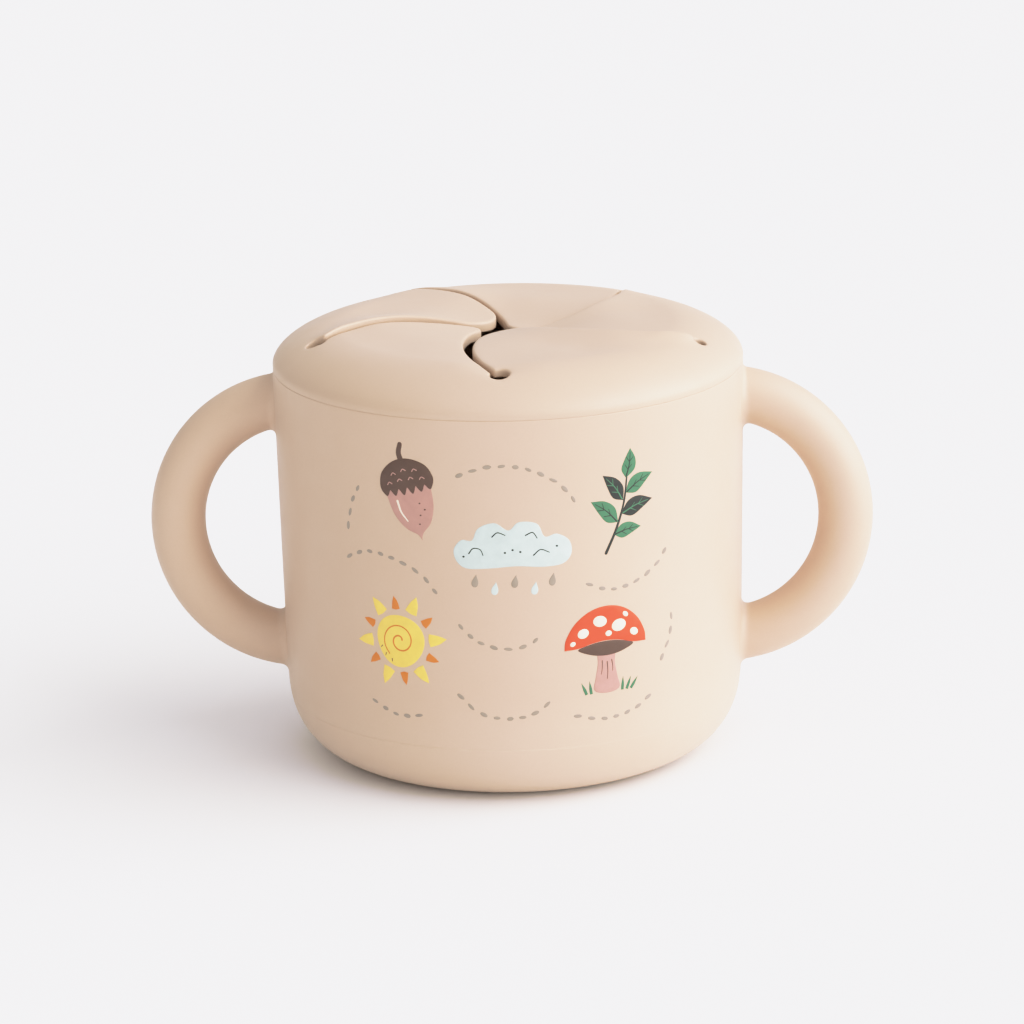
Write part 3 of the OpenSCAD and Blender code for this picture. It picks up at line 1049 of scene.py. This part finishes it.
def sun(at):
    for i in range(12):
        t = 30 * i + 6
        long = 3.4 if i % 2 == 0 else 2.4
        half = 1.25 if i % 2 == 0 else 0.85
        tri = curve([(6.1, -half), (6.1, -half), (6.3 + long * 0.5, -half * 0.62), (6.1 + long, 0.15), (6.1 + long, 0.15), (6.3 + long * 0.5, half * 0.66), (6.1, half), (6.1, half), (5.9, 0)], True, 0.4)
        decal("yellow" if i % 2 == 0 else "orange", place(tri, at, t), L1)
    wob = [(5.0 + 0.16 * math.sin(3 * math.radians(a) + 0.4)) for a in range(0, 360, 20)]
    decal("yellow", place(curve([(r * math.cos(math.radians(a)), r * math.sin(math.radians(a))) for r, a in zip(wob, range(0, 360, 20))], True, 0.5), at), L1)
    swirl = [(r * math.cos(math.radians(a)), r * math.sin(math.radians(a))) for a, r in zip(range(20, 620, 30), np.linspace(0.5, 3.6, 20))]
    decal("orange", place(ribbon(curve(swirl, False, 0.4), 0.40, 0.28), at), L2)
    for a in (200, 222, 244):
        v = [(4.1 * math.cos(math.radians(a)), 4.1 * math.sin(math.radians(a))), (4.55 * math.cos(math.radians(a + 3)), 4.55 * math.sin(math.radians(a + 3)))]
        decal("brown", place(ribbon(curve(v, False, 0.2), 0.26, 0.18), at), L2)


def acorn(at, turn):
    nut = curve([(-4.3, 1.4), (-4.5, -0.6), (-3.9, -3.6), (-2.3, -6.2), (-0.3, -7.7), (0.2, -8.9), (0.2, -8.9), (0.8, -7.6), (2.8, -5.9), (4.1, -3.2), (4.5, -0.4), (4.2, 1.6), (0, 2.2)], True, 0.45)
    decal("mauve", place(nut, at, turn), L1)
    cap = [(-5.4, 1.3), (-5.5, 2.6), (-4.6, 4.7), (-2.4, 6.2), (0.1, 6.7), (2.6, 6.1), (4.7, 4.6), (5.5, 2.5), (5.3, 1.3), (5.3, 1.3)]
    for i in range(6):
        x = 5.3 - i * 1.78
        cap += [(x - 0.89, 0.25 - 0.35 * math.cos((x - 0.9) / 3.2)), (x - 1.78, 1.25), (x - 1.78, 1.25)]
    decal("brown", place(curve(cap, True, 0.4), at, turn), L2)
    decal("brown", place(ribbon(curve([(0.1, 6.2), (0.0, 7.8), (0.7, 9.3)], False, 0.4), 1.15, 0.95), at, turn), L1)
    for x, y in ((-3.4, 2.6), (-1.2, 2.9), (1.1, 2.9), (3.3, 2.6), (-2.2, 4.2), (0.0, 4.6), (2.2, 4.3)):
        decal("mauve", place(ribbon(curve([(x - 0.45, y - 0.25), (x, y + 0.15), (x + 0.5, y - 0.2)], False, 0.3), 0.26), at, turn), L3)
    decal("cream", place(ribbon(curve([(-2.7, -0.9), (-2.5, -3.0), (-1.6, -4.9)], False, 0.4), 0.5, 0.28), at, turn), L2)
    for x, y in ((1.6, -2.0), (2.3, -3.3), (1.2, -4.2), (0.6, -5.8)):
        decal("brown", oval(place([(x, y)], at, turn)[0], 0.22, 0.17, 20), L2)


def mushroom(at):
    stem = curve([(-1.7, 1.6), (-1.8, -1.5), (-2.3, -4.4), (-2.6, -6.4), (-1.2, -7.2), (1.3, -7.2), (2.7, -6.4), (2.2, -4.2), (1.7, -1.4), (1.7, 1.6)], True, 0.45)
    decal("mauve", place(stem, at), L1)
    for x0, y0, x1, y1 in ((-0.9, -1.0, -1.1, -3.6), (0.1, -1.3, 0.1, -4.6), (1.0, -1.0, 1.2, -3.2)):
        decal("brown", place(ribbon(curve([(x0, y0), ((x0 + x1) / 2 + 0.1, (y0 + y1) / 2), (x1, y1)], False, 0.4), 0.24, 0.16), at), L2)
    gill = curve([(-5.6, 1.5), (-3.0, 0.3), (0.0, -0.1), (3.0, 0.3), (5.6, 1.5), (3.0, 2.4), (0, 2.7), (-3.0, 2.4)], True, 0.45)
    decal("brown", place(gill, at), L2)
    cap = curve([(-8.2, 1.6), (-8.2, 1.6), (-7.9, 3.7), (-6.1, 6.6), (-3.2, 8.7), (0.2, 9.4), (3.6, 8.6), (6.4, 6.4), (8.0, 3.6), (8.3, 1.5), (8.3, 1.5), (5.6, 1.7), (2.8, 2.5), (0, 2.8), (-2.8, 2.5), (-5.6, 1.8)], True, 0.45)
    decal("red", place(cap, at), L3)
    for x, y, a, b, t in ((-4.6, 4.6, 1.15, 0.95, 20), (-1.3, 6.6, 1.4, 1.1, -8), (2.5, 5.4, 1.5, 1.2, 10), (5.7, 3.7, 0.95, 0.75, -30), (-6.6, 2.8, 0.6, 0.5, 30), (0.4, 4.1, 0.7, 0.6, 0), (3.9, 7.3, 0.7, 0.5, -40)):
        decal("cream", oval(np.array(at) + (x, y), a, b, t), 0.135)
    for x, t in ((-4.0, 112), (-3.1, 96), (3.2, 84), (4.1, 66), (5.0, 52)):
        blade = curve([(0, -0.28), (0, -0.28), (1.2, -0.25), (2.6, 0.1), (2.6, 0.1), (1.2, 0.32), (0, 0.3), (0, 0.3)], True, 0.4)
        decal("green", place(blade, (at[0] + x, at[1] - 7.2), t), L1)


def cloud(at):
    pts = curve([(-10.6, -1.2), (-11.0, 0.9), (-9.6, 2.7), (-7.6, 2.7), (-6.4, 5.0), (-3.4, 6.0), (-0.9, 4.6), (1.0, 6.1), (4.3, 5.7), (5.7, 3.2), (7.9, 3.6), (10.2, 2.2), (10.6, -0.3), (9.0, -2.1), (5.4, -2.5), (0.4, -2.2), (-5.0, -2.6), (-8.8, -2.6)], True, 0.45)
    decal("blue", place(pts, at), L1)
    for c in ([(-8.2, 0.2), (-7.4, 1.2), (-6.1, 1.0), (-5.6, -0.1)], [(-3.9, 3.4), (-2.9, 4.2), (-1.5, 3.7)], [(2.2, 3.6), (3.5, 4.1), (4.3, 3.0)], [(3.6, -0.2), (4.9, 0.8), (6.5, 0.2)]):
        decal("dark", place(ribbon(curve(c, False, 0.35), 0.30, 0.22), at), L2)
    for x, y in ((-1.6, 0.4), (-0.2, 0.9), (1.2, 0.5), (7.9, 1.3), (-9.2, -0.4)):
        decal("dark", oval(np.array(at) + (x, y), 0.26, 0.22), L2)
    for i, (x, y) in enumerate(((-7.2, -5.2), (-3.6, -6.6), (0.1, -5.3), (3.7, -6.7), (7.0, -5.2))):
        drop = curve([(0, 1.5), (0, 1.5), (0.62, 0.1), (0.5, -0.75), (0, -1.0), (-0.5, -0.75), (-0.62, 0.1)], True, 0.35)
        decal("blue" if i % 2 else "grey", place(drop, np.array(at) + (x, y), -10), L1)


def dashes(ctrl, gap=2.55, seed=0.0):
    """A row of short brush dabs along a line, each a little different."""
    p = curve(ctrl, False, 0.1)
    s = np.concatenate([[0], np.cumsum(np.linalg.norm(np.diff(p, axis=0), axis=1))])
    k, at = 0, 0.4
    while at < s[-1] - 0.3:
        i = int(np.searchsorted(s, at))
        i = min(max(i, 1), len(p) - 2)
        t = p[i + 1] - p[i - 1]
        a = math.degrees(math.atan2(t[1], t[0]))
        w = math.sin(7.3 * k + seed)
        decal("grey", oval(p[i], 0.74 + 0.10 * w, 0.37 + 0.05 * math.cos(3.1 * k + seed), a + 9 * math.sin(4.7 * k + seed), 14), L1)
        at += gap * (1 + 0.07 * w)
        k += 1


sun((-20.5, 32.0))
acorn((-17.5, 60.2), 14)
cloud((1.8, 49.5))
sprig((22.5, 57.0), -14)
mushroom((19.0, 29.0))
dashes([(-8.2, 64.2), (-2.5, 66.0), (4.0, 65.6), (10.0, 62.6), (13.6, 58.4)], seed=0.3)
dashes([(-31.5, 52.0), (-30.0, 57.6), (-27.2, 62.0)], seed=1.1)
dashes([(-31.8, 46.4), (-27.0, 48.2), (-21.4, 47.6), (-15.8, 45.2), (-12.6, 41.6)], seed=2.0)
dashes([(-9.0, 22.6), (-5.4, 19.4), (-0.6, 18.2), (4.4, 18.8), (8.4, 21.4)], seed=0.9)
dashes([(-27.0, 19.6), (-21.5, 17.6), (-15.6, 18.2)], seed=3.2)
dashes([(12.8, 18.0), (18.6, 16.8), (25.0, 17.8), (29.6, 20.6)], seed=1.7)
dashes([(15.4, 43.0), (20.0, 41.4), (25.4, 42.2), (30.2, 44.8), (33.2, 48.8)], seed=2.6)
dashes([(-8.6, 36.0), (-5.2, 33.0), (-0.6, 31.6), (4.0, 32.2), (7.0, 34.4)], seed=4.0)
dashes([(31.0, 26.0), (33.2, 30.6), (33.6, 36.0)], seed=0.1)
for tone, (vs_, fs_) in sorted(PRINT.items()):
    co = np.vstack(vs_)
    used = sorted({i for f in fs_ for i in f})
    new = {o: i for i, o in enumerate(used)}
    co, fs_ = co[used], [tuple(new[i] for i in f) for f in fs_]
    # the ink film is closed by a back just inside the wall
    n = len(co)
    r = np.hypot(co[:, 0], co[:, 1])
    k = (wall_r(co[:, 2]) - 0.06) / r
    under = np.column_stack([co[:, 0] * k, co[:, 1] * k, co[:, 2]])
    half = {e for a, b, c in fs_ for e in ((a, b), (b, c), (c, a))}
    shut = [(c + n, b + n, a + n) for a, b, c in fs_] + [(b, a, a + n, b + n) for a, b in sorted(half) if (b, a) not in half]
    nr = np.vstack([vertex_normals(co, fs_), -np.column_stack([co[:, 0] / r, co[:, 1] / r, 0 * r])])
    o = make("print_" + tone, np.vstack([co, under]), fs_ + shut, INKS[tone], nr)
    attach(o, "cup")


# ------------------------------------------------------------------ floor, light
def studio():
    mat, nt, b = new_mat("paper_sweep")
    co = nt.nodes.new("ShaderNodeTexCoord").outputs["Object"]
    cl = noise(nt, co, 3.0, 3.0, 0.5)
    nt.links.new(ramp(nt, cl, [(0.3, (0.933, 0.919, 0.929)), (0.7, (0.943, 0.929, 0.939))]), b.inputs["Base Color"])
    nt.links.new(to_range(nt, noise(nt, co, 60.0, 2.0, 0.5), 0.3, 0.7, 0.82, 0.92), b.inputs["Roughness"])
    b.inputs["Specular IOR Level"].default_value = 0.15
    bump = nt.nodes.new("ShaderNodeBump")
    bump.inputs["Strength"].default_value = 0.05
    bump.inputs["Distance"].default_value = 0.0002
    nt.links.new(noise(nt, co, 900.0, 3.0, 0.6), bump.inputs["Height"])
    nt.links.new(bump.outputs["Normal"], b.inputs["Normal"])
    R, n = 9000.0, 96
    co_ = [(0.0, 0.0, 0.0)]
    fs = []
    rings = [150.0, 400.0, 1200.0, 3500.0, R]
    for r in rings:
        co_ += [(r * math.cos(2 * math.pi * i / n), r * math.sin(2 * math.pi * i / n), 0.0) for i in range(n)]
    for i in range(n):
        fs.append((0, 1 + i, 1 + (i + 1) % n))
        for k in range(len(rings) - 1):
            a, c = 1 + k * n, 1 + (k + 1) * n
            fs.append((a + i, c + i, c + (i + 1) % n, a + (i + 1) % n))
    floor = make("studio_floor", co_, fs, mat)


def studio_light():
    """One wide soft source from the right, and a pale room that is brighter on that side."""
    d = bpy.data.lights.new("key", "SUN")
    d.energy, d.angle, d.color = 4.0, math.radians(80), (1.0, 0.985, 0.965)
    o = bpy.data.objects.new("key", d)
    a, e = math.radians(77), math.radians(22)
    to = Vector((math.sin(a) * math.cos(e), -math.cos(a) * math.cos(e), math.sin(e)))
    o.rotation_euler = to.to_track_quat("Z", "Y").to_euler()
    bpy.context.scene.collection.objects.link(o)
    world = bpy.data.worlds.new("studio")
    world.use_nodes = True
    nt = world.node_tree
    bg = nt.nodes["Background"]
    bg.inputs["Color"].default_value = (0.985, 0.970, 0.985, 1.0)
    dot = nt.nodes.new("ShaderNodeVectorMath")
    dot.operation = "DOT_PRODUCT"
    dot.inputs[1].default_value = (0.57, -0.12, 0.47)
    nt.links.new(nt.nodes.new("ShaderNodeTexCoord").outputs["Generated"], dot.inputs[0])
    m = nt.nodes.new("ShaderNodeMath")
    m.operation = "MULTIPLY_ADD"
    nt.links.new(dot.outputs["Value"], m.inputs[0])
    m.inputs[1].default_value = m.inputs[2].default_value = 0.71
    nt.links.new(m.outputs[0], bg.inputs["Strength"])
    bpy.context.scene.world = world


def film():
    """A bright, gently rolled-off exposure: scene value against shown value."""
    vs = bpy.context.scene.view_settings
    vs.view_transform, vs.look = "Standard", "None"
    vs.exposure, vs.gamma = 0.0, 1.0
    vs.use_curve_mapping = True
    cm = vs.curve_mapping
    top = 2.5
    cm.white_level = (top, top, top)
    cm.extend = "HORIZONTAL"
    pts = [(0, 0), (0.2, 0.2), (0.4, 0.4), (0.6, 0.59), (0.8, 0.735), (1.0, 0.83), (1.2, 0.88), (1.5, 0.908), (top, 0.925)]
    c = cm.curves[3]
    c.points[0].location = pts[0]
    c.points[1].location = (1.0, pts[-1][1])
    for x, y in pts[1:-1]:
        c.points.new(x / top, y)
    # the shaded side is a little warmer, and the brightest tones lose a little of their colour
    blue = cm.curves[2]
    for x, y in [(0.05, 0.0465), (0.11, 0.1025), (0.14, 0.129), (0.155, 0.1455), (0.17, 0.1655), (0.19, 0.1895), (0.21, 0.2115), (0.25, 0.2505), (0.29, 0.2925), (0.33, 0.331),
                 (0.40, 0.4015), (0.45, 0.4595), (0.50, 0.525), (0.57, 0.63), (0.62, 0.69), (0.66, 0.73), (0.72, 0.775), (0.80, 0.835), (0.871, 0.885), (0.925, 0.93)]:
        blue.points.new(x, y)
    for k in (c, blue):
        for p in k.points:
            p.handle_type = "AUTO_CLAMPED"
    cm.update()


studio()
studio_light()
film()
